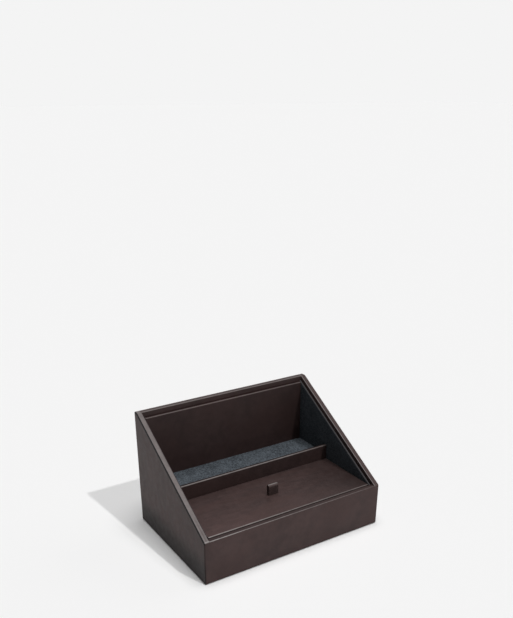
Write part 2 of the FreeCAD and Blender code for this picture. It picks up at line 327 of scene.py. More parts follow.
def remove_faces(bm, unwanted):
    """Delete the faces whose centre and normal `unwanted` picks."""
    bm.normal_update()
    chosen = [face for face in bm.faces if unwanted(face.calc_center_median(), face.normal)]
    bmesh.ops.delete(bm, geom=chosen, context="FACES")


def is_upright(edge):
    """True for an edge that runs nearly straight up."""
    run = edge.verts[0].co - edge.verts[1].co
    return abs(run.z) > NEARLY_STRAIGHT * run.length


def mark_surface(mesh, light_painting):
    """Store on each vertex two values: how much of the pale bend colour it takes, from 0 to 1, and a shading
    factor of 1 or so.

    The pale bend colour is partly the burnish of stretched leather and mostly a painted highlight; it follows
    how sharply the surface bends, save at upright corners. The shading factor is painted light and shade: 1
    here, painted shade below 1 and painted light above. The function passed in may change both: it takes a
    vertex's place, its normal and its bend value, and gives new values of both.
    """
    bm = bmesh.new()
    bm.from_mesh(mesh)
    bm.normal_update()
    step_angle = RIGHT_ANGLE / BEND_STEPS
    least_share = 0.6
    # Per vertex: the share of the pale bend colour, partly burnish and mostly painted highlight, and the
    # painted light and shade factor.
    polishes, painted_shadings = [], []
    for vert in bm.verts:
        angles = [edge.calc_face_angle(0.0) for edge in vert.link_edges if not is_upright(edge)]
        share = max(angles, default=0.0) / step_angle
        polish_and_highlight, painted_shading = min(max((share - least_share) / (1 - least_share), 0.0), 1.0), 1.0
        if light_painting:
            polish_and_highlight, painted_shading = light_painting(vert.co, vert.normal, polish_and_highlight)
        polishes.append(polish_and_highlight)
        painted_shadings.append(painted_shading)
    bm.free()
    for name, values in (("polish_and_highlight", polishes), ("painted_shading", painted_shadings)):
        mesh.attributes.new(name, "FLOAT", "POINT").data.foreach_set("value", values)


def piece(name, bm, material, body, nodes, thickness=0.0, light_painting=None):
    """Turn a mesh into a named piece that rides on a body and stands for CAD nodes."""
    mesh = bpy.data.meshes.new(name)
    bm.to_mesh(mesh)
    bm.free()
    mark_surface(mesh, light_painting)
    mesh.shade_smooth()
    mesh.set_sharp_from_angle(angle=SHARP_ANGLE)
    mesh.materials.append(material)
    made = bpy.data.objects.new(name, mesh)
    bpy.context.scene.collection.objects.link(made)
    if thickness:
        skin = made.modifiers.new("thickness", "SOLIDIFY")
        skin.thickness = thickness
        skin.offset = -1.0
    normals = made.modifiers.new("normals", "WEIGHTED_NORMAL")
    normals.keep_sharp = True
    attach(made, body)
    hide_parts(*nodes)
    return made


# Materials

# Where a Mix node that blends colours keeps its sockets: the share, the two colours and the result.
MIX_INPUTS = (0, 6, 7)
MIX_RESULT = 2

# Painted shading and contrast of each velvet: the shaded pile is the same velvet made darker, as painted
# shade for linings that stand in shade.
PILES = {"velvet_pile": (1.0, 0.72), "shaded_pile": (0.86, 0.5)}


def add_node(tree, kind, settings=None, inputs=None):
    """Add a shader node, with its settings, and its inputs set to values or linked to sockets."""
    made = tree.nodes.new(kind)
    for name, value in (settings or {}).items():
        setattr(made, name, value)
    for name, value in (inputs or {}).items():
        if isinstance(value, bpy.types.NodeSocket):
            tree.links.new(value, made.inputs[name])
        else:
            made.inputs[name].default_value = value
    return made


def new_material(name, inputs):
    """A material, its node tree, its principled shader with these inputs, and coordinates in metres."""
    material = bpy.data.materials.new(name)
    material.use_nodes = True
    tree = material.node_tree
    tree.nodes.clear()
    shader = add_node(tree, "ShaderNodeBsdfPrincipled", inputs=inputs)
    output = add_node(tree, "ShaderNodeOutputMaterial")
    tree.links.new(shader.outputs["BSDF"], output.inputs["Surface"])
    place = add_node(tree, "ShaderNodeTexCoord").outputs["Object"]
    return material, tree, shader, place


def noise_texture(tree, place, width, detail=3.0, roughness=0.5, distortion=0.0):
    """Noise whose features are about `width` metres across."""
    made = add_node(tree, "ShaderNodeTexNoise", inputs={
        "Vector": place, "Scale": 1 / width, "Detail": detail,
        "Roughness": roughness, "Distortion": distortion})
    return made.outputs["Fac"]


def remap(tree, value, low, high, to_low=0.0, to_high=1.0):
    """Rescale a value from one range to another, held at the ends."""
    made = add_node(tree, "ShaderNodeMapRange", inputs={
        "Value": value, "From Min": low, "From Max": high, "To Min": to_low, "To Max": to_high})
    return made.outputs["Result"]


def mix_colour(tree, share, first, second):
    """Blend two colours, each a value or a socket, by the share in a socket."""
    colours = [side if isinstance(side, bpy.types.NodeSocket) else (*side, 1.0) for side in (first, second)]
    inputs = dict(zip(MIX_INPUTS, (share, *colours)))
    return add_node(tree, "ShaderNodeMix", {"data_type": "RGBA"}, inputs).outputs[MIX_RESULT]


def calculate(tree, operation, first, second):
    """One sum on two values or sockets."""
    return add_node(tree, "ShaderNodeMath", {"operation": operation}, {0: first, 1: second}).outputs[0]


def weighted(tree, first, second, share):
    """Two values added up: the second weighs `share`, and the first what is left of 1."""
    kept = calculate(tree, "MULTIPLY", first, 1 - share)
    return calculate(tree, "ADD", kept, calculate(tree, "MULTIPLY", second, share))


def bump(tree, height, depth, strength, below=None):
    """Normals for a height from 0 to 1 that stands `depth` metres deep."""
    inputs = {"Height": height, "Distance": depth, "Strength": strength}
    if below is not None:
        inputs["Normal"] = below
    return add_node(tree, "ShaderNodeBump", inputs=inputs).outputs["Normal"]


def leather_material(name, colours):
    """Smooth brown hide: cloudy colour, fine creased grain, a painted highlight with some burnish where it
    bends, and painted light and shade from each vertex's stored shading factor.
    """
    material, tree, shader, place = new_material(name, {"Specular IOR Level": 0.19})
    clouds = noise_texture(tree, place, 0.035, detail=4.0, roughness=0.55, distortion=0.6)
    mottle = noise_texture(tree, place, 0.006, detail=5.0, roughness=0.6)
    drawn = add_node(tree, "ShaderNodeMapping", inputs={
        "Vector": place, "Rotation": (0.0, 0.0, math.radians(-35)),
        "Scale": (1.0, 5.0, 1.0)}).outputs["Vector"]
    streaks = noise_texture(tree, drawn, 0.020, detail=4.0, roughness=0.6, distortion=0.4)
    patches = weighted(tree, weighted(tree, clouds, mottle, 0.5), streaks, 0.4)
    plain = mix_colour(tree, remap(tree, patches, 0.43, 0.57), colours.leather_dark, colours.leather)
    warmth = remap(tree, noise_texture(tree, drawn, 0.045), 0.42, 0.60, to_high=0.45)
    hide = mix_colour(tree, warmth, plain, colours.leather_warm)
    # Painted highlight: the pale bend colour mixed in by the value each vertex stores, partly burnish but
    # mostly painted highlight.
    bent = add_node(tree, "ShaderNodeAttribute", {"attribute_name": "polish_and_highlight"}).outputs["Fac"]
    polish_and_highlight = calculate(tree, "MULTIPLY", bent, remap(tree, mottle, 0.35, 0.65, to_low=0.7))
    painted_shading = add_node(tree, "ShaderNodeAttribute", {"attribute_name": "painted_shading"}).outputs["Fac"]
    highlighted_hide = mix_colour(tree, polish_and_highlight, hide, colours.leather_bend_highlight)
    # Painted light and shade: the colour scaled by each vertex's stored shading factor.
    colour = add_node(tree, "ShaderNodeVectorMath", {"operation": "SCALE"}, {
        "Vector": highlighted_hide, "Scale": painted_shading}).outputs["Vector"]
    tree.links.new(colour, shader.inputs["Base Color"])

    pore_width = 0.0011
    pores = add_node(tree, "ShaderNodeTexVoronoi", {"feature": "DISTANCE_TO_EDGE"}, {
        "Vector": place, "Scale": 1 / pore_width, "Randomness": 1.0}).outputs["Distance"]
    grain = bump(tree, remap(tree, pores, 0.0, 0.18), depth=0.00003, strength=0.35)
    fine = noise_texture(tree, place, 0.0005, detail=2.0)
    grain = bump(tree, fine, depth=0.00002, strength=0.3, below=grain)
    waves = noise_texture(tree, place, 0.012, detail=2.0)
    grain = bump(tree, waves, depth=0.00012, strength=0.5, below=grain)
    tree.links.new(grain, shader.inputs["Normal"])

    rough = remap(tree, mottle, 0.3, 0.7, 0.45, 0.57)
    smoother = calculate(tree, "MULTIPLY", polish_and_highlight, 0.15)
    tree.links.new(calculate(tree, "SUBTRACT", rough, smoother), shader.inputs["Roughness"])
    return material


def velvet_material(name, colours):
    """Short slate pile: faint brushed patches, fine fibres and a soft sheen."""
    painted_shading, contrast = PILES[name]
    material, tree, shader, place = new_material(name, {
        "Roughness": 0.95, "Specular IOR Level": 0.1, "Sheen Weight": 0.03, "Sheen Roughness": 0.45,
        "Sheen Tint": (*colours.velvet_sheen, 1.0)})
    brushed = noise_texture(tree, place, 0.012, detail=3.0, roughness=0.6)
    fibres = noise_texture(tree, place, 0.0014, detail=4.0, roughness=0.7)
    share = remap(tree, weighted(tree, brushed, fibres, 0.8), 0.36, 0.64)
    # Both colours are scaled by the pile's shading factor, which paints shade onto the shaded pile.
    deep = [value * (1 - contrast) * painted_shading for value in colours.velvet]
    light = [value * (1 + contrast) * painted_shading for value in colours.velvet]
    # A greyer velvet mixed in where the stored bend value is set: along a side lining's upward-facing top
    # edge.
    pressed = add_node(tree, "ShaderNodeAttribute", {"attribute_name": "polish_and_highlight"}).outputs["Fac"]
    colour = mix_colour(tree, pressed, mix_colour(tree, share, deep, light), colours.velvet_edge)
    tree.links.new(colour, shader.inputs["Base Color"])
    tree.links.new(bump(tree, fibres, depth=0.00025, strength=0.6), shader.inputs["Normal"])
    return material


def raw_material(name, colour, fleck_width, contrast, depth):
    """Raw board, card or felt: flecked colour and a dry fibrous surface."""
    material, tree, shader, place = new_material(name, {"Roughness": 0.9, "Specular IOR Level": 0.25})
    flecks = noise_texture(tree, place, fleck_width, detail=6.0, roughness=0.75)
    clouds = noise_texture(tree, place, 0.03, detail=2.0)
    share = remap(tree, weighted(tree, flecks, clouds, 0.3), 0.35, 0.65)
    dark = [value * (1 - contrast) for value in colour]
    light = [min(1.0, value * (1 + contrast)) for value in colour]
    tree.links.new(mix_colour(tree, share, dark, light), shader.inputs["Base Color"])
    tree.links.new(bump(tree, flecks, depth, strength=0.6), shader.inputs["Normal"])
    return material


def hide_piece(name, bm, body, node, colours, light_painting, thickness=HIDE_SKIN):
    """A piece of the brown leather, which is made the first time it is asked for."""
    leather = bpy.data.materials.get("smooth_hide") or leather_material("smooth_hide", colours)
    return piece(name, bm, leather, body, [node], thickness, light_painting)


def velvet_piece(name, bm, body, node, colours, light_painting, thickness=PILE_SKIN, pile="velvet_pile"):
    """A piece of one of the slate velvets, which is made the first time it is asked for."""
    velvet = bpy.data.materials.get(pile) or velvet_material(pile, colours)
    return piece(name, bm, velvet, body, [node], thickness, light_painting)


# Case leather

# The front and the back wall: which way they lie from the middle, and how high they are.
ENDS = ((-1, FRONT_TOP), (1, BACK_TOP))

# Extra lines across a wall's top: in corner radii from its outer edge, and in walls from its inner edge.
CORNER_LINES = (1.8, 1.0, 0.75, 0.55)
MIDDLE_LINES = (0.40, 0.52)

# The last rows of a wall's face, as distances below the rim's bend.
RIM_ROWS = (0.0011, 0.0006, 0.0)


def wall_marks(sizes):
    """Distances across a wall's top, from its inner edge to its outer edge, close together in the bends."""
    inner = bend_distances(sizes.inner_bend)
    outer = [WALL - distance for distance in reversed(bend_distances(sizes.rim_bend))]
    corner = [WALL - sizes.corner_radius * share for share in CORNER_LINES]
    middle = [WALL * share for share in MIDDLE_LINES]
    return sorted(set(inner) | set(outer) | set(corner) | set(middle))


def outline_x(y, sizes):
    """Where the case's outline stands at a depth, with its corners rounded in plan."""
    radius = sizes.corner_radius
    past = abs(y) - (CASE_HIGH.y - radius)
    if past <= 0:
        return CASE_HIGH.x
    return CASE_HIGH.x - radius + math.sqrt(max(0.0, radius ** 2 - past ** 2))


def distance_inside(x, y, sizes):
    """How far a point lies inside the case's rounded outline."""
    radius = sizes.corner_radius
    past_x = abs(x) - (CASE_HIGH.x - radius)
    past_y = abs(y) - (CASE_HIGH.y - radius)
    outside = math.hypot(max(past_x, 0.0), max(past_y, 0.0))
    return radius - outside - min(max(past_x, past_y), 0.0)


def side_top(x, y, sizes):
    """Height of a side wall's leather, over its sloped top and both rounded edges."""
    if y < 0:
        inward = x - INNER_X
        step_up = rim_height(y) - FRONT_TOP
        bend = min(sizes.inner_bend, step_up / 2)
    else:
        inward = math.hypot(x - INNER_X, max(y - INNER_Y, 0.0))
        bend = sizes.inner_bend
    top = rim_height(y) - bend_drop(distance_inside(x, y, sizes), sizes.rim_bend)
    return top - bend_drop(inward, bend)


def end_top(y, height, sizes):
    """Height of the front or back wall's leather, over its flat top and both rounded edges."""
    outer = bend_drop(CASE_HIGH.y - abs(y), sizes.rim_bend)
    return height - outer - bend_drop(abs(y) - INNER_Y, sizes.inner_bend)


def wall_column(x, y, top, sizes):
    """Points up the outside of a wall: in from under the case, round its foot, and up to the rim's bend."""
    radius = sizes.corner_radius
    core = Vector((min(x, CASE_HIGH.x - radius), math.copysign(min(abs(y), CASE_HIGH.y - radius), y), 0.0))
    outward = (Vector((x, y, 0.0)) - core).normalized()
    under_x = core.x * (CASE_HIGH.x - sizes.turn_under) / (CASE_HIGH.x - radius)
    under_y = core.y * (CASE_HIGH.y - sizes.turn_under) / (CASE_HIGH.y - radius)
    foot = sizes.foot_bend
    points = [Vector((under_x, under_y, CASE_LOW.z))]
    for angle in bend_angles():
        inset = foot * (1 - math.sin(angle))
        rise = foot * (1 - math.cos(angle))
        points.append(Vector((x, y, CASE_LOW.z + rise)) - outward * inset)
    start = CASE_LOW.z + foot
    end = top - sizes.rim_bend
    heights = [start + (end - start) * i / WALL_ROWS for i in range(1, WALL_ROWS)]
    heights += [end - distance for distance in RIM_ROWS]
    return points + [Vector((x, y, z)) for z in heights]


def upright_line(x, y, start, end, steps):
    """Points straight down or up from one height to another."""
    return [Vector((x, y, start + (end - start) * i / steps)) for i in range(steps + 1)]


def side_band(y, marks, sizes):
    """Places across a side wall's top at a depth, from its inner edge to the case's outline."""
    reach = outline_x(y, sizes) - INNER_X
    return [INNER_X + reach * mark / WALL for mark in marks]


def add_wall_faces(bm, width, depths, marks, sizes):
    """Add the outer faces of the walls in one strip: front, side and back."""
    across = width + side_band(CASE_HIGH.y, marks, sizes)[1:-1]
    front = [wall_column(x, CASE_LOW.y, FRONT_TOP, sizes) for x in across]
    side = [wall_column(outline_x(y, sizes), y, rim_height(y), sizes) for y in depths]
    back = [wall_column(x, CASE_HIGH.y, BACK_TOP, sizes) for x in reversed(across)]
    grid(bm, front + side + back)


def add_wall_tops(bm, width, depths, marks, sizes):
    """Add the tops of the side, front and back walls."""
    grid(bm, [[Vector((x, y, side_top(x, y, sizes))) for x in side_band(y, marks, sizes)] for y in depths])
    for sign, height in ENDS:
        lines = [sign * (INNER_Y + mark) for mark in marks]
        grid(bm, [[Vector((x, y, end_top(y, height, sizes))) for x in width] for y in lines])


def add_turn_ins(bm, width, depths, sizes):
    """Add the leather that runs down inside the walls, and the step from the side rim to the front one."""
    for sign, height in ENDS:
        start, end = height - sizes.inner_bend, height - sizes.turn_in
        grid(bm, zip(*(upright_line(x, sign * INNER_Y, start, end, TURN_ROWS) for x in width)))
    grid(bm, [upright_line(INNER_X, y, side_top(INNER_X, y, sizes), rim_height(y) - sizes.turn_in, TURN_ROWS)
              for y in depths if abs(y) <= INNER_Y + WELD_DISTANCE])
    grid(bm, [upright_line(INNER_X, y, side_top(INNER_X, y, sizes), end_top(y, FRONT_TOP, sizes), STEP_ROWS)
              for y in depths if y <= -INNER_Y + WELD_DISTANCE])


def case_skin(sizes):
    """The case's leather: the half where x is above 0, and its mirror image."""
    bm = bmesh.new()
    marks = wall_marks(sizes)
    width = [INNER_X * share for share in spread(0.0, 1.0, GRID_STEP / INNER_X)]
    depths = [-INNER_Y - mark for mark in reversed(marks)]
    depths += spread(-INNER_Y, INNER_Y, GRID_STEP)[1:-1]
    depths += [INNER_Y + mark for mark in marks]
    add_wall_faces(bm, width, depths, marks, sizes)
    add_wall_tops(bm, width, depths, marks, sizes)
    add_turn_ins(bm, width, depths, sizes)
    weld(bm)
    half = bm.verts[:] + bm.edges[:] + bm.faces[:]
    bmesh.ops.mirror(bm, geom=half, axis="X", merge_dist=WELD_DISTANCE)
    weld(bm)
    bmesh.ops.recalc_face_normals(bm, faces=bm.faces)
    face_outward(bm, (0.0, CASE_LOW.y, FRONT_TOP / 2), (0, -1, 0))
    unsettle(bm, sizes.unevenness, width=0.02, seed=3.1)
    return bm


def smooth_step(value, low, high):
    """0 below `low`, 1 above `high`, and a smooth rise between them."""
    share = min(max((value - low) / (high - low), 0.0), 1.0)
    return share * share * (3 - 2 * share)


# Where the case's painted light and shade change: distances in from its outline, the size of the painted dark
# line under the left rim, how far a normal is turned aside, and how far it looks up at most on a wall and on
# a side wall.
INNER_EDGE = WALL - 0.0005
EDGE_MARGIN = 0.0002
OUTER_EDGE = 0.002
RIM_SHADE_HEIGHT, RIM_SHADE_WIDTH = 0.0016, 0.0008
TURNED_ASIDE = 0.35
WALL_NORMAL, SIDE_NORMAL = 0.3, 0.72


def front_rim_highlight_line(place, normal):
    """Painted highlight along the front rim: a thin line at the top of its bend, strongest at the left."""
    top_normal, line_width = 0.55, 0.00095
    if normal.z < top_normal or place.y - CASE_LOW.y > line_width:
        return 0.0
    across = (place.x - CASE_LOW.x) / (CASE_HIGH.x - CASE_LOW.x)
    at_left = 1 - smooth_step(across, 0.08, 0.22)
    return 0.70 - 0.60 * across + 0.45 * at_left


def side_face_shade(place, normal):
    """Painted shade on the case's outer sides: darker at the foot, and darker round the corners."""
    corner = 0.85 if abs(normal.y) > TURNED_ASIDE else 1.0
    return (0.20 + 0.80 * smooth_step(place.z, 0.010, 0.031)) * corner


def end_face_shading(place, normal, from_side):
    """Painted light and shade on the case's outer front and back: lighter towards the top, darker at the
    foot, and darker along the front's upright edges.
    """
    front_normal, foot_height, edge_width, edge_shade = -0.9, 0.001, 0.0013, 0.8
    painted_shading = 1.10 + 0.19 * smooth_step(place.z, 0.008, 0.028)
    on_edge = normal.y < front_normal and place.z > CASE_LOW.z + foot_height and from_side < edge_width
    return painted_shading * edge_shade if on_edge else painted_shading


def inner_face_light(place, polish_and_highlight, on_side, from_end):
    """Painted light inside the walls: a painted highlight at the back wall's inner edge, and painted shade on
    the others, which stand in the recess.
    """
    edge_highlight, recess_shade, back_shade = 0.45, 0.55, 0.95
    at_edge = place.y > 0 and from_end < WALL + EDGE_MARGIN
    return polish_and_highlight * edge_highlight * at_edge, recess_shade if on_side or place.y < 0 else back_shade


def left_rim_highlight(along, from_side):
    """Painted highlight on the left rim: bright all over its top, with a duller strip near the front."""
    inner_highlight, strip_start, strip_end = 0.1, 0.0022, 0.0036
    if from_side > INNER_EDGE:
        return inner_highlight
    dip = 0.45 * (1 - smooth_step(along, 0.10, 0.22)) * (strip_start < from_side < strip_end)
    return (0.57 - 0.12 * along) * (1 - dip)


def right_rim_highlight(from_side):
    """Painted highlight on the right rim: a line along its inner edge."""
    line_highlight, line_start, line_end = 0.7, WALL - 0.00065, WALL - 0.0001
    return line_highlight * (line_start < from_side < line_end)


def front_top_shade(from_end):
    """Painted shade on the front wall's top beside its highlight line: darker towards the lid."""
    bend_start, top_shade, bend_shade = WALL - 0.0009, 0.64, 0.4
    return top_shade if from_end < bend_start else bend_shade


def back_top_light(polish_and_highlight, from_end):
    """Painted light on the back wall's top: a stronger painted highlight at its inner edge than at its outer
    edge, and slight painted shade all over.
    """
    outer_width, outer_highlight, inner_highlight, painted_shading = 0.0025, 0.12, 0.5, 0.92
    return polish_and_highlight * (outer_highlight if from_end < outer_width else inner_highlight), painted_shading


def case_painted_light(place, normal, polish_and_highlight):
    """Painted light on the case: painted highlights on its rims, the left one most, painted shade at the foot
    of its sides, and a painted dark line under the left rim.
    """
    rim_shade = 0.05
    along = (place.y - CASE_LOW.y) / (CASE_HIGH.y - CASE_LOW.y)
    from_side = CASE_HIGH.x - abs(place.x)
    from_end = CASE_HIGH.y - abs(place.y)
    on_side = abs(place.x) > INNER_X + EDGE_MARGIN
    at_left = on_side and place.x < 0
    line = front_rim_highlight_line(place, normal)
    # Painted dark line under the left rim, along the top of its bend.
    if at_left and place.z > rim_height(place.y) - RIM_SHADE_HEIGHT and from_side < RIM_SHADE_WIDTH:
        return 0.0, rim_shade
    if abs(normal.x) > TURNED_ASIDE and from_side < OUTER_EDGE and normal.z < SIDE_NORMAL:
        return 0.0, side_face_shade(place, normal)
    if normal.z < WALL_NORMAL:
        if from_side > INNER_EDGE and from_end > INNER_EDGE:
            return inner_face_light(place, polish_and_highlight, on_side, from_end)
        return 0.0, end_face_shading(place, normal, from_side)
    if at_left:
        return max(left_rim_highlight(along, from_side), line), 1.0
    if on_side:
        # Right rim: its highlight line, and painted shade that darkens it towards the back.
        return max(right_rim_highlight(from_side), line), 1.0 - 0.12 * along
    if place.y < 0:
        return line, 1.0 if line else front_top_shade(from_end)
    return back_top_light(polish_and_highlight, from_end)


class VALETBOX_OT_case_leather(bpy.types.Operator):
    """Wrap the case's walls in leather, over their rims and under the base"""

    bl_idname = "valetbox.case_leather"
    bl_label = "Case leather"

    def execute(self, context):
        sizes = context.scene.valetbox_sizes
        colours = context.scene.valetbox_colours
        hide_piece("case_leather", case_skin(sizes), "case", "outer_wrap", colours, case_painted_light)
        return {"FINISHED"}


# Lid, divider and back lining

# The middle of the loop, the room that its slot gives the strap, how far the lid's leather turns in under it,
# and how far behind the bend at its front an extra line of the mesh lies.
LOOP_Y = (LOOP_LOW.y + LOOP_HIGH.y) / 2
SLOT_END_GAP, SLOT_SIDE_GAP = 0.0001, 0.0004
LID_TURN_IN = 0.013
LID_LINE = 0.0005


def lid_painted_light(place, normal, polish_and_highlight):
    """Painted light on the lid: lighter towards the front left, a painted highlight along its front, and
    painted shade on its edges.
    """
    top_normal, edge_shade, line_width, bend_highlight = 0.6, 0.3, 0.0012, 0.15
    if normal.z < top_normal:
        return 0.0, edge_shade
    across = (place.x - LID_LOW.x) / (LID_HIGH.x - LID_LOW.x)
    along = (place.y - LID_LOW.y) / (LID_HIGH.y - LID_LOW.y)
    # Painted light and shade across the top: lighter towards the front left, darker towards the right and the
    # back, and darker beside the left wall.
    painted_shading = 1.33 - 0.65 * across - 0.61 * along + 0.76 * across * along
    painted_shading -= 0.28 * smooth_step(across, 0.62, 0.98)
    painted_shading *= 0.86 + 0.14 * smooth_step(place.x - LID_LOW.x, 0.001, 0.008)
    # Painted highlight along the lid's front edge, with no painted shade there.
    if place.y < LID_LOW.y + line_width:
        return 0.70 - 0.42 * across, max(painted_shading, 1.0)
    return polish_and_highlight * bend_highlight, painted_shading


def lid_skin(sizes):
    """The lid's leather, with its slot for the loop, turned in under the lid and open inside that."""
    slot_x = LOOP_HIGH.x + SLOT_END_GAP
    slot_y = sizes.strap + SLOT_SIDE_GAP
    line_end = LID_LOW.y + sizes.cover_bend + LID_LINE
    extra = ((-slot_x, slot_x), (line_end, LOOP_Y - slot_y, LOOP_Y + slot_y), ())
    bm = rounded_block(LID_LOW, LID_HIGH, sizes.cover_bend, extra=extra)

    def opening(centre, normal):
        in_slot = abs(centre.x) < slot_x and abs(centre.y - LOOP_Y) < slot_y
        inside = (LID_LOW.x + LID_TURN_IN < centre.x < LID_HIGH.x - LID_TURN_IN
                  and LID_LOW.y + LID_TURN_IN < centre.y < LID_HIGH.y - LID_TURN_IN)
        return abs(normal.z) > FACING and (in_slot or (normal.z < 0 and inside))
    remove_faces(bm, opening)
    unsettle(bm, sizes.unevenness, width=0.022, seed=7.7)
    return bm


class VALETBOX_OT_lid(bpy.types.Operator):
    """Cover the lid in leather and line its underside with velvet"""

    bl_idname = "valetbox.lid"
    bl_label = "Lid"

    def execute(self, context):
        sizes = context.scene.valetbox_sizes
        colours = context.scene.valetbox_colours
        hide_piece("lid_cover", lid_skin(sizes), "lid", "lid_leather", colours, lid_painted_light)
        velvet_sheet("lid_velvet", "lid_lining", "lid", colours)
        return {"FINISHED"}


def back_lining_painted_light(place, normal, polish_and_highlight):
    """Painted light on the back lining: painted shade that darkens towards the right, and a soft painted
    highlight along its top.
    """
    line_highlight, top_normal, back_normal = 0.36, 0.6, 0.1
    on_line = normal.z > top_normal and normal.y < back_normal
    return polish_and_highlight * line_highlight * on_line, 0.88 - 0.12 * smooth_step(place.x, 0.02, 0.08)


def divider_painted_light(place, normal, polish_and_highlight):
    """Painted light on the divider: a painted highlight on the front bend of its top, most at the left,
    painted shade on its top, and a little on its faces.
    """
    bend_start, bend_end, front_normal = 0.2, 0.98, -0.1
    top_shade, face_shade = 0.25, 0.9
    if bend_start < normal.z < bend_end and normal.y < front_normal:
        return 0.62 - 0.40 * smooth_step(place.x, 0.03, 0.09), 1.0
    return 0.0, top_shade if normal.z > FACING else face_shade


def cover(name, node, sizes, colours, seed, light_painting):
    """Leather over a standing panel: both faces, its top and its ends, open at the bottom."""
    low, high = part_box(node)
    bm = rounded_block(low, high, sizes.cover_bend)
    foot = low.z + sizes.cover_bend
    remove_faces(bm, lambda centre, normal: centre.z < foot)
    unsettle(bm, sizes.unevenness, width=0.02, seed=seed)
    hide_piece(name, bm, "case", node, colours, light_painting)


class VALETBOX_OT_panels(bpy.types.Operator):
    """Cover the divider and the back lining in leather"""

    bl_idname = "valetbox.panels"
    bl_label = "Divider and back lining"

    def execute(self, context):
        sizes = context.scene.valetbox_sizes
        colours = context.scene.valetbox_colours
        cover("divider_cover", "divider_leather", sizes, colours, seed=1.3, light_painting=divider_painted_light)
        cover("back_lining", "back_liner_leather", sizes, colours, seed=5.9, light_painting=back_lining_painted_light)
        return {"FINISHED"}


# Velvet

# How far the velvet runs down behind a side lining, and how much of its top falls with the full slope.
BACK_STRIP = 0.009
SLOPED_PART = 0.012


def lining_top_edge(place, normal, polish_and_highlight):
    """Side lining: greyer velvet along its sloped top edge, where the surface faces up."""
    return smooth_step(normal.z, 0.3, 0.6), 1.0


def unpainted_velvet(place, normal, polish_and_highlight):
    """Flat velvet: no greyer edge, and no painted light or shade."""
    return 0.0, 1.0


def side_lining(side, sizes, colours):
    """Velvet of a side lining: its face and its sloped top edge, and a strip down its back."""
    node = f"{side}_liner_velvet"
    low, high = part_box(node)
    bm = rounded_block(low, high, sizes.velvet_bend)
    inward = 1 if side == "left" else -1
    strip_foot = high.z - BACK_STRIP
    foot = low.z + sizes.velvet_bend

    def hidden(centre, normal):
        on_back = normal.x * inward < -FACING and centre.z < strip_foot
        return on_back or centre.z < foot
    remove_faces(bm, hidden)
    level = high.z - SLOPED_PART
    for vert in bm.verts:
        fall = SLOPE * (high.y - vert.co.y)
        share = min(1.0, (vert.co.z - low.z) / (level - low.z))
        vert.co.z -= fall * share
    unsettle(bm, sizes.unevenness, width=0.015, seed=2.2)
    # The side linings take the shaded pile: the same velvet with painted shade.
    made = velvet_piece(f"{side}_lining", bm, "case", node, colours, lining_top_edge, pile="shaded_pile")


def velvet_sheet(name, node, body, colours):
    """A flat piece of velvet with soft edges, glued to what carries it."""
    low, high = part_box(node)
    high.z = min(high.z, low.z + VELVET) - HAIR
    bm = rounded_block(low, high, VELVET * SHEET_SOFTNESS)
    made = velvet_piece(name, bm, body, node, colours, unpainted_velvet, thickness=0.0)


def ledge_lining(place, sizes, colours):
    """Velvet of a ledge under the lid: one strip over its face and its top."""
    node = f"{place}_ledge_velvet"
    low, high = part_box(node)
    high.z -= HAIR
    outward = 1 if place == "front" else -1
    bm = rounded_block(low, high, sizes.velvet_bend)
    foot = low.z + sizes.velvet_bend

    def hidden(centre, normal):
        return centre.z < foot or normal.y * outward < -FACING or abs(normal.x) > FACING
    remove_faces(bm, hidden)
    made = velvet_piece(f"{place}_ledge_lining", bm, "case", node, colours, unpainted_velvet)


class VALETBOX_OT_linings(bpy.types.Operator):
    """Line the sides, both floors and the ledges with velvet"""

    bl_idname = "valetbox.linings"
    bl_label = "Velvet linings"

    def execute(self, context):
        sizes = context.scene.valetbox_sizes
        colours = context.scene.valetbox_colours
        for side in ("left", "right"):
            side_lining(side, sizes, colours)
        velvet_sheet("rear_floor", "rear_floor_velvet", "case", colours)
        velvet_sheet("front_floor", "front_floor_velvet", "case", colours)
        for place in ("front", "back"):
            ledge_lining(place, sizes, colours)
        return {"FINISHED"}


# Pull loop

# Half the gap between the strap's legs, how far above the lid's underside they start, and the share of the
# strap's thickness by which its edges are rounded.
PINCH_GAP = 0.0001
LEG_FOOT = 0.0015
STRAP_SOFTNESS = 0.3


def loop_path(sizes):
    """Middle line of the loop's strap, as (across, up) points: up one leg, round the eye, down the other."""
    half = sizes.strap / 2
    eye = (sizes.loop_eye + sizes.strap) / 2
    centre = LOOP_HIGH.z - half - eye
    pinched = half + PINCH_GAP
    leg = []
    for i in range(LEG_STEPS):
        share = i / LEG_STEPS
        across = pinched + (eye - pinched) * smooth_step(share, 0, 1)
        leg.append((across, LID_LOW.z + LEG_FOOT + (centre - LID_LOW.z - LEG_FOOT) * share))
    turns = [math.pi * i / FOLD_STEPS for i in range(FOLD_STEPS + 1)]
    arc = [(eye * math.cos(turn), centre + eye * math.sin(turn)) for turn in turns]
    return leg + arc + [(-across, up) for across, up in reversed(leg)]


def strap_section(width, thickness):
    """Outline of the strap's cut end: a flat bar with rounded edges, as (along, through) points."""
    radius = thickness * STRAP_SOFTNESS
    points = []
    corners = ((1, 1, 0), (-1, 1, 1), (-1, -1, 2), (1, -1, 3))
    for sign_x, sign_y, quarter in corners:
        for angle in bend_angles():
            turn = angle + quarter * RIGHT_ANGLE
            points.append((sign_x * (width / 2 - radius) + radius * math.cos(turn),
                           sign_y * (thickness / 2 - radius) + radius * math.sin(turn)))
    return points


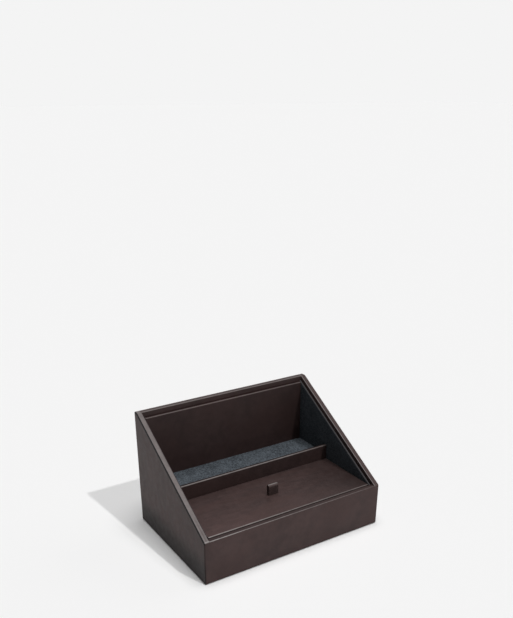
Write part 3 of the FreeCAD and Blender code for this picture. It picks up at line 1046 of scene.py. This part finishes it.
def loop_painted_light(place, normal, polish_and_highlight):
    """Painted light on the strap: a painted highlight along the top of its fold and faintly on its front, and
    painted shade on its front and its edges.
    """
    front_normal, front_highlight, front_shade, edge_shade = -0.7, 0.06, 0.95, 0.85
    if normal.y < front_normal:
        return front_highlight, front_shade
    return 0.80 * smooth_step(normal.z, 0.86, 0.98), edge_shade


def strap_skin(sizes):
    """The loop's strap: its section swept along its middle line, and closed at both ends."""
    bm = bmesh.new()
    path = loop_path(sizes)
    section = strap_section(LOOP_HIGH.x - LOOP_LOW.x, sizes.strap)
    rows = []
    for i, (across, up) in enumerate(path):
        before = path[max(i - 1, 0)]
        after = path[min(i + 1, len(path) - 1)]
        run = Vector((after[0] - before[0], after[1] - before[1])).normalized()
        side = Vector((run.y, -run.x))
        rows.append([Vector((along, LOOP_Y + across + side.x * through, up + side.y * through))
                     for along, through in section + section[:1]])
    grid(bm, rows)
    weld(bm)
    bmesh.ops.holes_fill(bm, edges=bm.edges)
    bmesh.ops.recalc_face_normals(bm, faces=bm.faces)
    return bm


class VALETBOX_OT_pull_loop(bpy.types.Operator):
    """Fold the leather strap that lifts the lid"""

    bl_idname = "valetbox.pull_loop"
    bl_label = "Pull loop"

    def execute(self, context):
        sizes = context.scene.valetbox_sizes
        colours = context.scene.valetbox_colours
        hide_piece("pull_strap", strap_skin(sizes), "lid", "pull_loop", colours, loop_painted_light, thickness=0.0)
        return {"FINISHED"}


# Boards, cards and felt

def dress(node, material):
    """Give a CAD node its material."""
    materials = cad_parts[node].data.materials
    materials.clear()
    materials.append(material)


class VALETBOX_OT_boards(bpy.types.Operator):
    """Finish the raw boards and cards that carry the leather and the velvet"""

    bl_idname = "valetbox.boards"
    bl_label = "Boards and cards"

    def execute(self, context):
        colours = context.scene.valetbox_colours
        board = raw_material("fibreboard", colours.board, fleck_width=0.0012, contrast=0.35, depth=0.0001)
        card = raw_material("lining_card", colours.card, fleck_width=0.0008, contrast=0.25, depth=0.00006)
        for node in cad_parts:
            if "board" in node or "riser" in node:
                dress(node, board)
            elif "card" in node or "infill" in node:
                dress(node, card)
        return {"FINISHED"}


class VALETBOX_OT_base(bpy.types.Operator):
    """Lay the felt under the case"""

    bl_idname = "valetbox.base"
    bl_label = "Base felt"

    def execute(self, context):
        colours = context.scene.valetbox_colours
        felt = raw_material("felt_cloth", colours.felt, fleck_width=0.0007, contrast=0.4, depth=0.00015)
        low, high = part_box("base_sheet")
        high.z -= HAIR
        made = piece("felt_sheet", rounded_block(low, high, (high.z - low.z) * SHEET_SOFTNESS), felt,
                     "case", ["base_sheet"])
        return {"FINISHED"}


# Studio

def direction(azimuth, elevation):
    """The way to a place that stands at an azimuth, turned from the front, and at an elevation."""
    return Vector((math.sin(azimuth) * math.cos(elevation),
                   -math.cos(azimuth) * math.cos(elevation), math.sin(elevation)))


def sun(name, azimuth, elevation, strength, spread_angle):
    """A distant soft light that shines from an azimuth and an elevation."""
    light = bpy.data.lights.new(name, "SUN")
    light.energy = strength
    light.angle = spread_angle
    made = bpy.data.objects.new(name, light)
    bpy.context.scene.collection.objects.link(made)
    made.rotation_euler = direction(azimuth, elevation).to_track_quat("Z", "Y").to_euler()


def studio_floor(colour):
    """A wide pale floor."""
    bm = bmesh.new()
    half = 20.0
    grid(bm, [[(x, y, 0.0) for x in (-half, 0.0, half)] for y in (-half, 0.0, half)])
    bmesh.ops.recalc_face_normals(bm, faces=bm.faces)
    face_outward(bm, (0, 0, 0), (0, 0, 1))
    mesh = bpy.data.meshes.new("studio_floor")
    bm.to_mesh(mesh)
    bm.free()
    material, *_ = new_material("studio_floor", {
        "Base Color": (*colour, 1.0), "Roughness": 1.0, "Specular IOR Level": 0.0})
    mesh.materials.append(material)
    made = bpy.data.objects.new("studio_floor", mesh)
    bpy.context.scene.collection.objects.link(made)


def studio_world(colour, fill):
    """Light from all round, with the pale background where the camera and reflections see it."""
    world = bpy.data.worlds.new("studio")
    world.use_nodes = True
    tree = world.node_tree
    tree.nodes.clear()
    path = add_node(tree, "ShaderNodeLightPath").outputs
    seen = calculate(tree, "MAXIMUM", path["Is Camera Ray"], path["Is Glossy Ray"])
    seen = calculate(tree, "MAXIMUM", seen, path["Is Transmission Ray"])
    light = add_node(tree, "ShaderNodeBackground", inputs={"Color": (1.0, 1.0, 1.0, 1.0), "Strength": fill})
    back = add_node(tree, "ShaderNodeBackground", inputs={"Color": (*colour, 1.0), "Strength": 1.0})
    mixed = add_node(tree, "ShaderNodeMixShader", inputs={0: seen, 1: light.outputs[0], 2: back.outputs[0]})
    add_node(tree, "ShaderNodeOutputWorld", inputs={"Surface": mixed.outputs[0]})
    bpy.context.scene.world = world


def studio_camera():
    """The camera, with its shift for the place of the box low in the picture."""
    right = Vector((math.cos(CAMERA_AZIMUTH), math.sin(CAMERA_AZIMUTH), 0.0))
    back = direction(CAMERA_AZIMUTH, CAMERA_ELEVATION)
    up = back.cross(right)
    data = bpy.data.cameras.new("camera")
    longer = max(IMAGE_WIDTH, IMAGE_HEIGHT)
    data.sensor_width = SENSOR
    data.lens = FOCAL_PIXELS / longer * SENSOR
    data.shift_y = (OPTICAL_CENTRE_Y - IMAGE_HEIGHT / 2) / longer
    data.clip_start = 0.01
    data.clip_end = 100.0
    camera = bpy.data.objects.new("camera", data)
    bpy.context.scene.collection.objects.link(camera)
    place = right * CAMERA_ASIDE + up * CAMERA_UP + back * CAMERA_DISTANCE
    turn = Matrix((right, up, back)).transposed()
    camera.matrix_world = Matrix.Translation(place) @ turn.to_4x4()
    bpy.context.scene.camera = camera


class VALETBOX_OT_studio(bpy.types.Operator):
    """Set up the pale floor, the soft light and the camera"""

    bl_idname = "valetbox.studio"
    bl_label = "Studio"

    def execute(self, context):
        colours = context.scene.valetbox_colours
        lights = context.scene.valetbox_lights
        studio_floor(colours.floor)
        studio_world(colours.floor, lights.fill)
        sun("key_light", lights.key_azimuth, lights.key_elevation, lights.key_strength, lights.key_spread)
        sun("side_light", RIGHT_ANGLE, lights.side_elevation, lights.side_strength, lights.side_spread)
        sun("top_light", lights.top_azimuth, lights.top_elevation, lights.top_strength, lights.top_spread)
        studio_camera()
        context.scene.view_settings.view_transform = "Standard"
        return {"FINISHED"}


class VALETBOX_PT_panel(bpy.types.Panel):
    """Sizes, colours and pieces of the valet box"""

    bl_idname = "VALETBOX_PT_panel"
    bl_label = "Valet Box"
    bl_space_type = "VIEW_3D"
    bl_region_type = "UI"
    bl_category = "Valet Box"

    def draw(self, context):
        layout = self.layout
        scene = context.scene
        for group in (scene.valetbox_sizes, scene.valetbox_colours, scene.valetbox_lights):
            column = layout.column(align=True)
            for name in group.__annotations__:
                column.prop(group, name)
        for operator in OPERATORS:
            layout.operator(operator.bl_idname)


GROUPS = {
    "valetbox_sizes": ValetBoxSizes,
    "valetbox_colours": ValetBoxColours,
    "valetbox_lights": ValetBoxLights,
}
OPERATORS = (
    VALETBOX_OT_case_leather,
    VALETBOX_OT_panels,
    VALETBOX_OT_linings,
    VALETBOX_OT_lid,
    VALETBOX_OT_pull_loop,
    VALETBOX_OT_boards,
    VALETBOX_OT_base,
    VALETBOX_OT_studio,
)


def register():
    for name, group in GROUPS.items():
        bpy.utils.register_class(group)
        setattr(bpy.types.Scene, name, PointerProperty(type=group))
    for operator in OPERATORS:
        bpy.utils.register_class(operator)
    bpy.utils.register_class(VALETBOX_PT_panel)


def unregister():
    bpy.utils.unregister_class(VALETBOX_PT_panel)
    for operator in reversed(OPERATORS):
        bpy.utils.unregister_class(operator)
    for name, group in reversed(GROUPS.items()):
        delattr(bpy.types.Scene, name)
        bpy.utils.unregister_class(group)


def main():
    """Build every piece in order."""
    register()
    bpy.ops.valetbox.case_leather()
    bpy.ops.valetbox.panels()
    bpy.ops.valetbox.linings()
    bpy.ops.valetbox.lid()
    bpy.ops.valetbox.pull_loop()
    bpy.ops.valetbox.boards()
    bpy.ops.valetbox.base()
    bpy.ops.valetbox.studio()


if __name__ == "__main__":
    main()
